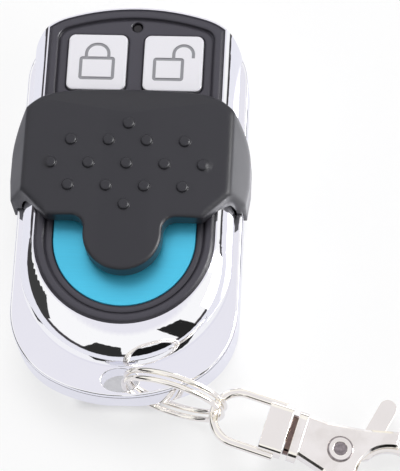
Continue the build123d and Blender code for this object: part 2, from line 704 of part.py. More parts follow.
# Blue accent plate
with BuildPart() as accent_plate:
    with BuildSketch(Plane.XY.offset(accent_bottom)):
        add(accent_shape(0))
    extrude(amount=ACCENT_THICKNESS)
    chamfer(accent_plate.faces().sort_by(Axis.Z)[-1].edges(), ACCENT_EDGE)
accent_plate.part.label = "accent_plate"

# Four push buttons, each a cap with two lugs under the deck and a stem down to its switch
button_names = ("button_lower_left", "button_lower_right", "button_lock", "button_unlock")
closed_lock = lock_symbol(0, LOCK_WIDTH, SHACKLE_WIDTH, SHACKLE_CORNER, 0)
open_lock = lock_symbol(OPEN_LOCK_X, OPEN_LOCK_WIDTH, OPEN_SHACKLE_WIDTH, OPEN_SHACKLE_CORNER,
                        OPEN_SHACKLE_SHIFT)
button_symbols = (bolt_symbol(), bell_symbol(), closed_lock, open_lock)
buttons = []
for name, place, symbol in zip(button_names, button_places, button_symbols):
    with BuildPart() as button:
        with BuildSketch(Plane.XY.offset(lug_bottom)):
            with Locations(place):
                RectangleRounded(BUTTON_WIDTH, BUTTON_LENGTH, BUTTON_CORNER)
        extrude(amount=button_top - lug_bottom)
        fillet(button.faces().sort_by(Axis.Z)[-1].edges(), BUTTON_EDGE_RADIUS)
        with BuildSketch(Plane.XY.offset(lug_bottom)):
            with Locations(place):
                Rectangle(BUTTON_WIDTH + 2 * LUG_REACH, LUG_LENGTH)
        extrude(amount=LUG_THICKNESS)
        with BuildSketch(Plane.XY.offset(plunger_top)):
            with Locations(place):
                Circle(STEM_DIAMETER / 2)
        extrude(amount=lug_bottom - plunger_top)
        with BuildSketch(Plane.XY.offset(button_top - SYMBOL_DEPTH)):
            with Locations(place):
                add(symbol)
        extrude(amount=SYMBOL_DEPTH, mode=Mode.SUBTRACT)
    button.part.label = name
    buttons.append(button.part)

# Plungers of the push switches, one under each button
plunger_names = [name.replace("button", "plunger") for name in button_names]
plungers = []
for name, place in zip(plunger_names, button_places):
    with BuildPart() as plunger:
        with BuildSketch(Plane.XY.offset(plunger_bottom)):
            with Locations(place):
                Circle(PLUNGER_DIAMETER / 2)
        extrude(amount=plunger_top - plunger_bottom)
    plunger.part.label = name
    plungers.append(plunger.part)

# Push switches on the board: bodies, sheet covers and snap domes
with BuildPart() as switch_bodies:
    with BuildSketch(Plane.XY.offset(board_top)):
        with Locations(*button_places):
            Rectangle(SWITCH_SIZE, SWITCH_SIZE)
    extrude(amount=SWITCH_HEIGHT)
    with BuildSketch(Plane.XY.offset(snap_dome_base)):
        with Locations(*button_places):
            Circle(SNAP_DOME_DIAMETER / 2 + PLUNGER_GAP)
    extrude(amount=SWITCH_HEIGHT, mode=Mode.SUBTRACT)
switch_bodies.part.label = "tact_switch_bodies"

with BuildPart() as switch_covers:
    with BuildSketch(Plane.XY.offset(switch_top)):
        with Locations(*button_places):
            Rectangle(SWITCH_SIZE, SWITCH_SIZE)
            Circle(PLUNGER_DIAMETER / 2 + PLUNGER_GAP, mode=Mode.SUBTRACT)
    extrude(amount=SWITCH_COVER)
switch_covers.part.label = "tact_switch_covers"

snap_dome_radius = ((SNAP_DOME_DIAMETER / 2) ** 2 + SNAP_DOME_RISE ** 2) / (2 * SNAP_DOME_RISE)
with BuildPart() as snap_domes:
    for place in button_places:
        with Locations((*place, snap_dome_base + SNAP_DOME_RISE - snap_dome_radius)):
            Sphere(snap_dome_radius)
            Sphere(snap_dome_radius - SNAP_DOME_THICKNESS, mode=Mode.SUBTRACT)
    split(bisect_by=Plane.XY.offset(snap_dome_base))
snap_domes.part.label = "snap_domes"

# Circuit board, clamped between the bosses of the two halves
with BuildPart() as circuit_board:
    with BuildSketch(Plane.XY.offset(board_height)):
        add(case_shape(REAR_WALL + BOARD_GAP))
        with Locations((0, BOARD_NEAR_END)):
            Rectangle(CASE_WIDTH, CASE_WIDTH, align=(Align.CENTER, Align.MAX), mode=Mode.SUBTRACT)
        with Locations(*far_screws):
            Circle(SCREW_HOLE / 2, mode=Mode.SUBTRACT)
    extrude(amount=BOARD_THICKNESS)
circuit_board.part.label = "circuit_board"

# Code chip with its eight legs
with BuildPart() as encoder_chip:
    with BuildSketch(Plane.XY.offset(board_top + CHIP_LEG)):
        with Locations((0, CHIP_Y)):
            Rectangle(CHIP_WIDTH, CHIP_LENGTH)
    extrude(amount=CHIP_HEIGHT)
    with BuildSketch(Plane.XY.offset(board_top)):
        with Locations((0, CHIP_Y)):
            with GridLocations(CHIP_WIDTH + CHIP_LEG_REACH, CHIP_PITCH, 2, 4):
                Rectangle(CHIP_LEG_REACH + 2 * CHIP_LEG, CHIP_LEG_WIDTH)
    extrude(amount=CHIP_LEG * 2)
encoder_chip.part.label = "encoder_chip"

# Metal can of the resonator, trimmer, transistor and small chip parts
with BuildPart() as resonator_can:
    with BuildSketch(Plane.XY.offset(board_top)):
        with Locations((0, RESONATOR_Y)):
            RectangleRounded(RESONATOR_WIDTH, RESONATOR_LENGTH, RESONATOR_CORNER)
    extrude(amount=RESONATOR_HEIGHT)
    fillet(resonator_can.faces().sort_by(Axis.Z)[-1].edges(), RESONATOR_CORNER / 2)
resonator_can.part.label = "resonator_can"

with BuildPart() as trimmer:
    with BuildSketch(Plane.XY.offset(board_top)):
        with Locations((-side_part_x, side_part_y)):
            Circle(TRIMMER_DIAMETER / 2)
    extrude(amount=TRIMMER_HEIGHT)
    with BuildSketch(Plane.XY.offset(board_top + TRIMMER_HEIGHT - RECESS_DEPTH)):
        with Locations((-side_part_x, side_part_y)):
            Rectangle(TRIMMER_SLOT, RECESS_WIDTH)
    extrude(amount=RECESS_DEPTH, mode=Mode.SUBTRACT)
trimmer.part.label = "trimmer_capacitor"

with BuildPart() as transistor:
    with BuildSketch(Plane.XY.offset(board_top)):
        with Locations((side_part_x, side_part_y)):
            Rectangle(TRANSISTOR_WIDTH, TRANSISTOR_LENGTH)
    extrude(amount=TRANSISTOR_HEIGHT)
transistor.part.label = "output_transistor"

with BuildPart() as chip_parts:
    with BuildSketch(Plane.XY.offset(board_top)):
        for side in (-1, 1):
            with Locations((side * side_part_x, CHIP_Y)):
                with GridLocations(1, SMALL_PART_PITCH, 1, 3):
                    Rectangle(SMALL_PART_LENGTH, SMALL_PART_WIDTH)
    extrude(amount=SMALL_PART_HEIGHT)
chip_parts.part.label = "resistors_and_capacitors"

with BuildPart() as antenna:
    with BuildSketch(Plane.XY.offset(board_top)):
        add(case_shape(ANTENNA_INSET))
        add(case_shape(ANTENNA_INSET + ANTENNA_WIDTH), mode=Mode.SUBTRACT)
        with Locations((0, ANTENNA_NEAR_END)):
            Rectangle(2 * CASE_WIDTH, 2 * CASE_WIDTH, align=(Align.CENTER, Align.MAX), mode=Mode.SUBTRACT)
    extrude(amount=ANTENNA_THICKNESS)
antenna.part.label = "antenna_loop"

# Status lamp on the board and the light pipe above it
with BuildPart() as status_lamp:
    with BuildSketch(Plane.XY.offset(board_top)):
        with Locations((0, lamp_y)):
            Rectangle(LAMP_LENGTH, LAMP_WIDTH)
    extrude(amount=LAMP_HEIGHT)
status_lamp.part.label = "status_led"

with BuildPart() as light_pipe:
    with BuildSketch(Plane.XY.offset(board_top + LAMP_HEIGHT + BOARD_GAP)):
        with Locations((0, lamp_y)):
            Circle(LAMP_HOLE / 2 - LAMP_GAP)
    extrude(amount=panel_top - LAMP_DROP - board_top - LAMP_HEIGHT - BOARD_GAP)
    fillet(light_pipe.faces().sort_by(Axis.Z)[-1].edges(), BUTTON_EDGE_RADIUS)
    with BuildSketch(Plane.XY.offset(deck_bottom - LAMP_FLANGE)):
        with Locations((0, lamp_y)):
            Circle(LAMP_HOLE / 2 + LAMP_FLANGE)
    extrude(amount=LAMP_FLANGE)
light_pipe.part.label = "light_pipe"

# Battery cell lying across the case, and its two sheet contacts
with BuildPart() as battery_cell:
    with BuildSketch(Plane.YZ.offset(-CELL_LENGTH / 2)):
        with Locations((CELL_Y, CELL_HEIGHT)):
            Circle(CELL_DIAMETER / 2)
    extrude(amount=CELL_LENGTH - NUB_LENGTH)
    fillet(battery_cell.edges(), CELL_EDGE)
    with BuildSketch(Plane.YZ.offset(CELL_LENGTH / 2 - NUB_LENGTH)):
        with Locations((CELL_Y, CELL_HEIGHT)):
            Circle(NUB_DIAMETER / 2)
    extrude(amount=NUB_LENGTH)
battery_cell.part.label = "battery_cell"

contacts = []
for name, side in (("contact_negative", -1), ("contact_positive", 1)):
    with BuildPart() as contact:
        with BuildSketch(Plane.YZ.offset(side * CELL_LENGTH / 2)):
            with Locations((CELL_Y, (REAR_FLOOR + CONTACT_TOP) / 2)):
                Rectangle(CONTACT_WIDTH, CONTACT_TOP - REAR_FLOOR)
            with Locations((CELL_Y, board_height)):
                Rectangle(BOARD_NEAR_END - CELL_Y + CONTACT_TAB, CONTACT_TAB, align=(Align.MIN, Align.MAX))
        extrude(amount=side * CONTACT_THICKNESS)
    contact.part.label = name
    contacts.append(contact.part)

# Three case screws with cross recesses
with BuildPart() as case_screws:
    for x, y, seat in [(x, y, SCREW_SINK) for x, y in far_screws] + [(0, near_screw_y, near_screw_seat)]:
        with BuildSketch(Plane.XY.offset(seat)):
            with Locations((x, y)):
                Circle(SCREW_DIAMETER / 2)
        extrude(amount=SCREW_LENGTH)
        with BuildSketch(Plane.XY.offset(seat)):
            with Locations((x, y)):
                Circle(SCREW_HEAD / 2)
        extrude(amount=-SCREW_HEAD_HEIGHT)
        with BuildSketch(Plane.XY.offset(seat - SCREW_HEAD_HEIGHT)):
            with Locations((x, y)):
                Rectangle(RECESS_SPAN, RECESS_WIDTH)
                Rectangle(RECESS_WIDTH, RECESS_SPAN)
        extrude(amount=RECESS_DEPTH, mode=Mode.SUBTRACT)
case_screws.part.label = "case_screws"

# One raised dot of the cover's grip
with BuildPart() as raised_dot:
    with BuildSketch():
        Circle(DOT_DIAMETER / 2)
    extrude(amount=2 * DOT_HEIGHT)
    fillet(raised_dot.faces().sort_by(Axis.Z)[-1].edges(), DOT_EDGE)

# Sliding cover: the plan outline cut to its cross section, hollow below, with lips in the case's tracks
with BuildPart() as slide_cover:
    with BuildSketch(Plane.XY.offset(cover_bottom)):
        with BuildLine():
            CenterArc((0, TONGUE_TIP + TONGUE_HALF_WIDTH), TONGUE_HALF_WIDTH, -90, 90)
            FilletPolyline((TONGUE_HALF_WIDTH, TONGUE_TIP + TONGUE_HALF_WIDTH),
                           (TONGUE_HALF_WIDTH, COVER_NEAR_END),
                           (cover_facet_half_width, COVER_NEAR_END),
                           (cover_top_half_width, COVER_SKIRT_NEAR_END),
                           (cover_half_width - SKIRT_TAPER, COVER_SKIRT_NEAR_END),
                           radius=(TONGUE_FILLET, COVER_BEND, COVER_BEND))
            Polyline((cover_half_width - SKIRT_TAPER, COVER_SKIRT_NEAR_END),
                     (cover_half_width, COVER_SKIRT_NEAR_END + SKIRT_TAPER_LENGTH),
                     (cover_half_width, cover_corner_y))
            CenterArc((cover_corner_x, cover_corner_y), COVER_CORNER, 0, 90 - cover_crown_angle)
            CenterArc((0, cover_crown_y), COVER_FAR_CROWN, 90 - cover_crown_angle, cover_crown_angle)
            mirror(about=Plane.YZ)
        make_face()
    extrude(amount=cover_top - cover_bottom)
    with BuildSketch(Plane.XZ):
        with BuildLine():
            crown_edge = (cover_top_half_width, cover_top - COVER_CROWN)
            ThreePointArc((-crown_edge[0], crown_edge[1]), (0, cover_top), crown_edge)
            Polyline(crown_edge, (cover_half_width, cover_shoulder), (cover_half_width, cover_bottom),
                     (-cover_half_width, cover_bottom), (-cover_half_width, cover_shoulder),
                     (-crown_edge[0], crown_edge[1]))
        make_face()
    extrude(amount=CASE_WIDTH, both=True, mode=Mode.INTERSECT)
    with BuildSketch(Plane.YZ):
        with BuildLine():
            roll = CenterArc((COVER_FAR_END - COVER_ROLL_LENGTH, cover_top - COVER_ROLL_RADIUS),
                             COVER_ROLL_RADIUS, 90 - roll_angle, roll_angle)
            Polyline(roll @ 1, (COVER_FAR_END - COVER_ROLL_LENGTH, cover_top + CUT_PAST),
                     ((roll @ 0).X, cover_top + CUT_PAST), roll @ 0)
        make_face()
    extrude(amount=CASE_WIDTH, both=True, mode=Mode.SUBTRACT)
    with BuildSketch(Plane.XZ):
        with BuildLine():
            Polyline((0, cover_bottom - CUT_PAST), (skirt_inside, cover_bottom - CUT_PAST),
                     (skirt_inside, ledge_height + DOME_CLEARANCE), *dome_side,
                     (dome_side[-1][0], cover_underside), (0, cover_underside))
            mirror(about=Plane.YZ)
        make_face()
    extrude(amount=CASE_WIDTH, both=True, mode=Mode.SUBTRACT)
    top_faces = slide_cover.faces().filter_by(lambda face: face.normal_at().Z > 0.75)
    top_edges = [edge for edge in top_faces.edges()
                 if sum(edge.is_same(other) for face in top_faces for other in face.edges()) == 1]
    fillet(top_edges, COVER_EDGE)
    with BuildSketch(Plane.XY.offset(cover_underside)):
        with Locations((0, COVER_NEAR_END + COVER_POCKET_INSET)):
            Rectangle(2 * cover_facet_half_width, pocket_far_end - COVER_NEAR_END - COVER_POCKET_INSET,
                      align=(Align.CENTER, Align.MIN))
        with Locations((0, TONGUE_TIP + TONGUE_HALF_WIDTH)):
            Circle(TONGUE_HALF_WIDTH - COVER_POCKET_INSET)
            Rectangle(2 * (TONGUE_HALF_WIDTH - COVER_POCKET_INSET), TONGUE_HALF_WIDTH,
                      align=(Align.CENTER, Align.MIN))
    extrude(amount=COVER_POCKET_DEPTH, mode=Mode.SUBTRACT)
    for y, count in DOT_ROWS:
        for column in range(count):
            x = DOT_PITCH * (column - (count - 1) / 2)
            base = cover_top - COVER_CROWN * (x / cover_top_half_width) ** 2
            with Locations((x, y, base - DOT_HEIGHT)):
                add(raised_dot.part)
    with BuildSketch(Plane.XY.offset(cover_bottom)):
        for side in (-1, 1):
            with Locations((side * lip_x, lip_y)):
                Rectangle(lip_width, LIP_FAR_END - LIP_NEAR_END)
    extrude(amount=LIP_THICKNESS)
slide_cover.part.label = "slide_cover"

# Split ring: two flat turns joined by a step, one tube
step_start = RING_STEP_PLACE - RING_STEP_ANGLE / 2
step_end = RING_STEP_PLACE + RING_STEP_ANGLE / 2
half_pitch = RING_PITCH / 2
step_radius = sqrt(RING_RADIUS ** 2 + half_pitch ** 2)
flat_middle = (step_end + step_start + 360) / 2
with BuildPart() as split_ring:
    with BuildLine() as wire_path:
        for offset in (-half_pitch, half_pitch):
            ThreePointArc(ring_point(step_end, offset), ring_point((step_end + flat_middle) / 2, offset),
                          ring_point(flat_middle, offset))
            ThreePointArc(ring_point(flat_middle, offset),
                          ring_point((flat_middle + step_start + 360) / 2, offset),
                          ring_point(step_start, offset))
            if offset < 0:
                rise = TangentArc(ring_point(step_start, offset), ring_point(RING_STEP_PLACE, 0, step_radius),
                                  tangent=ring_tangent(step_start))
                TangentArc(rise @ 1, ring_point(step_end, half_pitch), tangent=rise % 1)
    with BuildSketch(Plane(origin=ring_point(step_end, -half_pitch), z_dir=ring_tangent(step_end))):
        Circle(RING_WIRE / 2)
    sweep()
split_ring.part.label = "split_ring"

# Least gap between the ring's turns, measured on points along its wire
wire_points = [tuple(wire_path.wire() @ (step / RING_POINTS)) for step in range(RING_POINTS + 1)]
turn_distances = [dist(point, other) for index, point in enumerate(wire_points)
                  for other in wire_points[index + RING_POINTS // 8:]]
print(f"least gap between the ring's turns: {min(turn_distances) - RING_WIRE:.3f} mm")

# Swivel eye: a flat loop with rounded bars, and a block between its ends that holds the post
with BuildPart() as clasp_eye:
    with BuildSketch(clasp_plane):
        with Locations((EYE_HALF_WIDTH, 0)):
            Circle(EYE_HALF_WIDTH)
            Rectangle(EYE_LENGTH - EYE_HALF_WIDTH, 2 * EYE_HALF_WIDTH, align=(Align.MIN, Align.CENTER))
            Circle(eye_bore_radius, mode=Mode.SUBTRACT)
            Rectangle(EYE_LENGTH, 2 * eye_bore_radius, align=(Align.MIN, Align.CENTER), mode=Mode.SUBTRACT)
    extrude(amount=EYE_BAR / 2, both=True)
    flat_faces = clasp_eye.faces().filter_by(lambda face: abs(face.normal_at().dot(clasp_normal)) > 0.9)
    long_edges = flat_faces.edges().filter_by(lambda edge: abs((edge % 0.5).dot(clasp_plane.y_dir)) < 0.99
                                              or edge.length > 2 * EYE_BAR)
    fillet(long_edges, EYE_EDGE)
    block_plane = Plane(origin=clasp_plane.from_local_coords((EYE_BLOCK_START, 0, 0)),
                        x_dir=clasp_plane.y_dir, z_dir=clasp_along)
    with BuildSketch(block_plane):
        RectangleRounded(2 * EYE_BLOCK_HALF_WIDTH, EYE_BLOCK_THICKNESS, EYE_BLOCK_EDGE)
    extrude(amount=EYE_BLOCK_LENGTH)
    for diameter, depth in ((POST_DIAMETER, EYE_BLOCK_LENGTH), (POST_HEAD_DIAMETER, POST_HEAD_SINK)):
        with BuildSketch(block_plane):
            Circle(diameter / 2 + POST_GAP)
        extrude(amount=depth, mode=Mode.SUBTRACT)
clasp_eye.part.label = "clasp_eye"

# Hook: claw, slot for the gate, flange and collar, with the headed swivel post behind
with BuildPart() as clasp_hook:
    with BuildSketch(clasp_plane):
        Polygon((neck_start, NECK_LOW), *HOOK_BELOW, claw_centre, *HOOK_ABOVE, (neck_start, NECK_HIGH),
                align=None)
        with Locations(claw_centre):
            Circle(claw_radius)
            Circle(CLAW_BORE / 2, mode=Mode.SUBTRACT)
        with Locations(claw_centre):
            Polygon((0, 0), *mouth_corners, align=None, mode=Mode.SUBTRACT)
    extrude(amount=HOOK_THICKNESS / 2, both=True)
    hook_faces = clasp_hook.faces().filter_by(lambda face: abs(face.normal_at().dot(clasp_normal)) > 0.99)
    chamfer(hook_faces.edges(), HOOK_EDGE)
    with BuildSketch(clasp_plane):
        with Locations((SLOT_BACK, SLOT_FLOOR)):
            Rectangle(SLOT_FRONT - SLOT_BACK, 2 * claw_radius, align=(Align.MIN, Align.MIN))
    extrude(amount=GATE_SLOT / 2, both=True, mode=Mode.SUBTRACT)
    with BuildSketch(clasp_plane):
        with Locations(rivet_place):
            Circle(RIVET_DIAMETER / 2)
    extrude(amount=HOOK_THICKNESS, both=True, mode=Mode.SUBTRACT)
    for start, length, half_width, thickness, edge in (
            (flange_start, FLANGE_LENGTH, FLANGE_HALF_WIDTH, FLANGE_THICKNESS, FLANGE_EDGE),
            (collar_start, COLLAR_LENGTH, COLLAR_HALF_WIDTH, COLLAR_THICKNESS, COLLAR_EDGE)):
        with BuildSketch(Plane(origin=clasp_plane.from_local_coords((start, 0, 0)),
                               x_dir=clasp_plane.y_dir, z_dir=clasp_along)):
            RectangleRounded(2 * half_width, thickness, edge)
        extrude(amount=length)
    post_plane = block_plane.offset(POST_HEAD_SINK - POST_GAP)
    with BuildSketch(post_plane):
        Circle(POST_DIAMETER / 2)
    extrude(amount=collar_start - EYE_BLOCK_START - POST_HEAD_SINK + POST_GAP)
    with BuildSketch(post_plane):
        Circle(POST_HEAD_DIAMETER / 2)
    extrude(amount=-POST_HEAD_LENGTH)
clasp_hook.part.label = "clasp_hook"

# Gate: hub, curved arm across the mouth and the thumb tab
with BuildPart() as clasp_gate:
    with BuildSketch(clasp_plane):
        with BuildLine():
            outer = CenterArc(claw_centre, gate_outer, GATE_END, GATE_HEEL_HIGH - GATE_END)
            inner = CenterArc(claw_centre, gate_inner, GATE_END, GATE_HEEL_LOW - GATE_END)
            Line(outer @ 0, inner @ 0)
            Polyline(outer @ 1, (RIVET_X, RIVET_Y + GATE_HUB / 2), (RIVET_X, RIVET_Y - GATE_HUB / 2),
                     inner @ 1)
        make_face()
        with Locations(rivet_place):
            Circle(gate_reach, mode=Mode.INTERSECT)
            Circle(GATE_HUB / 2)
            Circle(RIVET_DIAMETER / 2 + POST_GAP, mode=Mode.SUBTRACT)
        SlotCenterPoint(((TAB_ROOT[0] + TAB_END[0]) / 2, (TAB_ROOT[1] + TAB_END[1]) / 2), TAB_END, TAB_WIDTH)
    extrude(amount=GATE_THICKNESS / 2, both=True)
clasp_gate.part.label = "clasp_gate"

# Tubular rivet with two domed heads
with BuildPart() as gate_rivet:
    with BuildSketch(clasp_plane):
        with Locations(rivet_place):
            Circle(RIVET_DIAMETER / 2)
    extrude(amount=HOOK_THICKNESS / 2, both=True)
    for side in (-1, 1):
        with BuildSketch(clasp_plane.offset(side * HOOK_THICKNESS / 2)):
            with Locations(rivet_place):
                Circle(RIVET_HEAD / 2)
        extrude(amount=side * RIVET_HEAD_HEIGHT)
    head_rims = gate_rivet.edges().filter_by(GeomType.CIRCLE).sort_by(
        lambda edge: abs(clasp_plane.to_local_coords(edge.arc_center).Z))[-2:]
    fillet(head_rims, RIVET_EDGE)
    for side in (-1, 1):
        with BuildSketch(clasp_plane.offset(side * (HOOK_THICKNESS / 2 + RIVET_HEAD_HEIGHT))):
            with Locations(rivet_place):
                Circle(RIVET_DIMPLE / 2)
        extrude(amount=-side * RIVET_DIMPLE_DEPTH, mode=Mode.SUBTRACT)
gate_rivet.part.label = "gate_rivet"

# Leaf spring behind the gate's hub
with BuildPart() as gate_spring:
    with BuildSketch(clasp_plane):
        with BuildLine():
            inner = CenterArc(rivet_place, spring_inner, SPRING_START, SPRING_ARC)
            outer = CenterArc(rivet_place, spring_inner + SPRING_THICKNESS, SPRING_START, SPRING_ARC)
            Line(inner @ 0, outer @ 0)
            Polyline(inner @ 1, ((inner @ 1).X, SLOT_FLOOR), ((outer @ 1).X, SLOT_FLOOR), outer @ 1)
        make_face()
    extrude(amount=SPRING_WIDTH / 2, both=True)
gate_spring.part.label = "gate_spring"

pieces = [rear_housing.part, front_housing.part, front_panel.part, accent_plate.part, *buttons, *plungers,
          switch_bodies.part, switch_covers.part, snap_domes.part, circuit_board.part, encoder_chip.part,
          resonator_can.part, trimmer.part, transistor.part, chip_parts.part, antenna.part, status_lamp.part,
          light_pipe.part, battery_cell.part, *contacts, case_screws.part, slide_cover.part, split_ring.part,
          clasp_eye.part, clasp_hook.part, clasp_gate.part, gate_rivet.part, gate_spring.part]
for piece in pieces:
    export_step(piece, f"parts/{piece.label}.step")
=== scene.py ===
"""Dresses the garage door remote: its finishes, the studio round it and the camera.

Everything is in metres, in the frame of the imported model: X across the case, Y towards its far end, Z up.
"""
import json
import logging
import math
from dataclasses import dataclass
from enum import Enum
from typing import Any, ClassVar, Mapping, Sequence, Tuple, Union

import bpy
from mathutils import Euler, Matrix, Vector

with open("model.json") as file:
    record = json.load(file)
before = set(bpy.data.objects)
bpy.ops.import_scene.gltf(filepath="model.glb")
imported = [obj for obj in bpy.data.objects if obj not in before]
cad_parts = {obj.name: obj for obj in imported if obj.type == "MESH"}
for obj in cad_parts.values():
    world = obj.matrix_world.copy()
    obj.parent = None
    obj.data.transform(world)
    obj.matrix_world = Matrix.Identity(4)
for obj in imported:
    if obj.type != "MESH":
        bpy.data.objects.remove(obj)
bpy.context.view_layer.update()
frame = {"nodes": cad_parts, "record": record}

log = logging.getLogger("remote")
Colour = Tuple[float, float, float]
Triple = Tuple[float, float, float]
Span = Tuple[float, float]
MM = 0.001
WHITE = (1.0, 1.0, 1.0)


class Axis(Enum):
    """The parts of a position."""

    X = 0
    Y = 1
    Z = 2


class Signal:
    """A shader socket that takes part in Python expressions."""

    def __init__(self, bench: "Bench", socket: bpy.types.NodeSocket) -> None:
        """Keeps the socket and the bench whose nodes it belongs to."""
        self.bench = bench
        self.socket = socket

    def maths(self, operation: str, *values: "Value") -> "Signal":
        """Adds a Math node.

        Args:
            operation: the node's operation.
            values: its inputs, in order; this signal alone where there are none.

        Returns:
            The node's result.
        """
        inputs = dict(enumerate(values or (self,)))
        return self.bench.node("ShaderNodeMath", {"operation": operation}, inputs)

    def __add__(self, other: "Value") -> "Signal":
        """Sum."""
        return self.maths("ADD", self, other)

    __radd__ = __add__

    def __sub__(self, other: "Value") -> "Signal":
        """Difference."""
        return self.maths("SUBTRACT", self, other)

    def __rsub__(self, other: "Value") -> "Signal":
        """Difference, the other way round."""
        return self.maths("SUBTRACT", other, self)

    def __mul__(self, other: "Value") -> "Signal":
        """Product."""
        return self.maths("MULTIPLY", self, other)

    def __abs__(self) -> "Signal":
        """Size without sign."""
        return self.maths("ABSOLUTE", self)

    def ramp(self, low: float, high: float) -> "Signal":
        """A smooth step from 0 at low to 1 at high."""
        return self.bench.node("ShaderNodeMapRange", {"interpolation_type": "SMOOTHSTEP"},
                               {"Value": self, "From Min": low, "From Max": high})

    def window(self, rise: Span, fall: Span) -> "Signal":
        """From 0 to 1 over the rise, and back to 0 over the fall."""
        return self.ramp(*rise) * (1 - self.ramp(*fall))


Value = Union[Signal, float, Sequence[float]]


def toned(colour: Colour, factor: float) -> Colour:
    """The colour with each part times the factor."""
    return tuple(factor * part for part in colour)


class Bench:
    """The node tree of one material or world, with the shader that it starts with.

    Attributes:
        BEVEL_SAMPLES: how finely rounded edges are worked out.
        MIX_SHARE: the number of a colour mix's input for the share; its names are used twice.
        MIX_FIRST: that of its first colour.
        MIX_SECOND: that of its second colour.
        MIX_RESULT: the number of its output.
    """

    BEVEL_SAMPLES = 8
    MIX_SHARE = 0
    MIX_FIRST = 6
    MIX_SECOND = 7
    MIX_RESULT = 2

    def __init__(self, block: Union[bpy.types.Material, bpy.types.World],
                 shader: str = "Principled BSDF") -> None:
        """Gives the block nodes.

        Args:
            block: a new material or world.
            shader: the name of its shader node.
        """
        block.use_nodes = True
        self.block = block
        self.tree = block.node_tree
        self.shader = self.tree.nodes[shader]

    def node(self, kind: str, settings: Mapping[str, Any], inputs: Mapping[Any, "Value"],
             output: Union[int, str] = 0) -> Signal:
        """Adds a node.

        Args:
            kind: the node's type.
            settings: its properties, and "stops" for a colour ramp.
            inputs: values or signals by socket number or name.
            output: the number or name of the output that is used.

        Returns:
            The signal from that output.
        """
        made = self.tree.nodes.new(kind)
        for key, value in settings.items():
            if key == "stops":
                first, *middle, last = value
                elements = made.color_ramp.elements
                for element, (position, colour) in zip(elements, (first, last)):
                    element.position, element.color = position, self.opaque(colour)
                for position, colour in middle:
                    elements.new(position).color = self.opaque(colour)
            else:
                setattr(made, key, value)
        for key, value in inputs.items():
            if isinstance(value, Signal):
                self.tree.links.new(value.socket, made.inputs[key])
            else:
                made.inputs[key].default_value = value
        return Signal(self, made.outputs[output])

    def place(self, space: str = "Object") -> Signal:
        """The position on the piece, in metres, or in another space."""
        return self.node("ShaderNodeTexCoord", {}, {}, space)

    def part(self, axis: Axis, space: str = "Object") -> Signal:
        """One part of the position."""
        return self.node("ShaderNodeSeparateXYZ", {}, {"Vector": self.place(space)}, axis.value)

    def ray(self, kind: str) -> Signal:
        """1 for rays of a kind, such as "Camera" or "Glossy", and 0 for others."""
        return self.node("ShaderNodeLightPath", {}, {}, f"Is {kind} Ray")

    def noise(self, size: float, detail: float = 3.0, stretch: Triple = (1, 1, 1)) -> Signal:
        """Even noise about 0.5.

        Args:
            size: the width of a speck, in metres.
            detail: how many finer layers it has.
            stretch: how much finer it is along each axis.

        Returns:
            The noise's value.
        """
        turned = self.node("ShaderNodeMapping", {}, {"Vector": self.place(), "Scale": stretch})
        return self.node("ShaderNodeTexNoise", {}, {"Vector": turned, "Scale": 1 / size, "Detail": detail})

    def blend(self, share: Value, first: Value, second: Value) -> Signal:
        """A colour that goes from first to second as share goes from 0 to 1."""
        inputs = {self.MIX_SHARE: share, self.MIX_FIRST: self.opaque(first),
                  self.MIX_SECOND: self.opaque(second)}
        return self.node("ShaderNodeMix", {"data_type": "RGBA"}, inputs, self.MIX_RESULT)

    @staticmethod
    def opaque(colour: Value) -> Value:
        """The colour with full alpha, or the signal as it is."""
        return colour if isinstance(colour, Signal) else (*colour, 1)

    def wire(self, name: str, value: Value) -> None:
        """Sets one input of the shader to a value or links it to a signal."""
        if isinstance(value, Signal):
            self.tree.links.new(value.socket, self.shader.inputs[name])
        else:
            self.shader.inputs[name].default_value = value

    def glow(self, share: Signal, colour: Value) -> None:
        """Mixes plain light of a colour over what the material has shown so far.

        Args:
            share: how much of the light shows, 0 to 1.
            colour: its colour.
        """
        surface = self.tree.nodes["Material Output"].inputs["Surface"]
        before = Signal(self, surface.links[0].from_socket)
        light = self.node("ShaderNodeEmission", {}, {"Color": self.opaque(colour)})
        mixed = self.node("ShaderNodeMixShader", {}, dict(enumerate((share, before, light))))
        self.tree.links.new(mixed.socket, surface)

    def bump(self, height: Signal, depth: float, soft: Value) -> None:
        """Links a height to the shader's normal.

        Args:
            height: the height, 0 to 1.
            depth: its depth in metres.
            soft: the radius to which edges look rounded, in metres.
        """
        inputs = {"Height": height, "Distance": depth}
        if soft:
            inputs["Normal"] = self.node("ShaderNodeBevel", {"samples": self.BEVEL_SAMPLES}, {"Radius": soft})
        self.wire("Normal", self.node("ShaderNodeBump", {}, inputs))


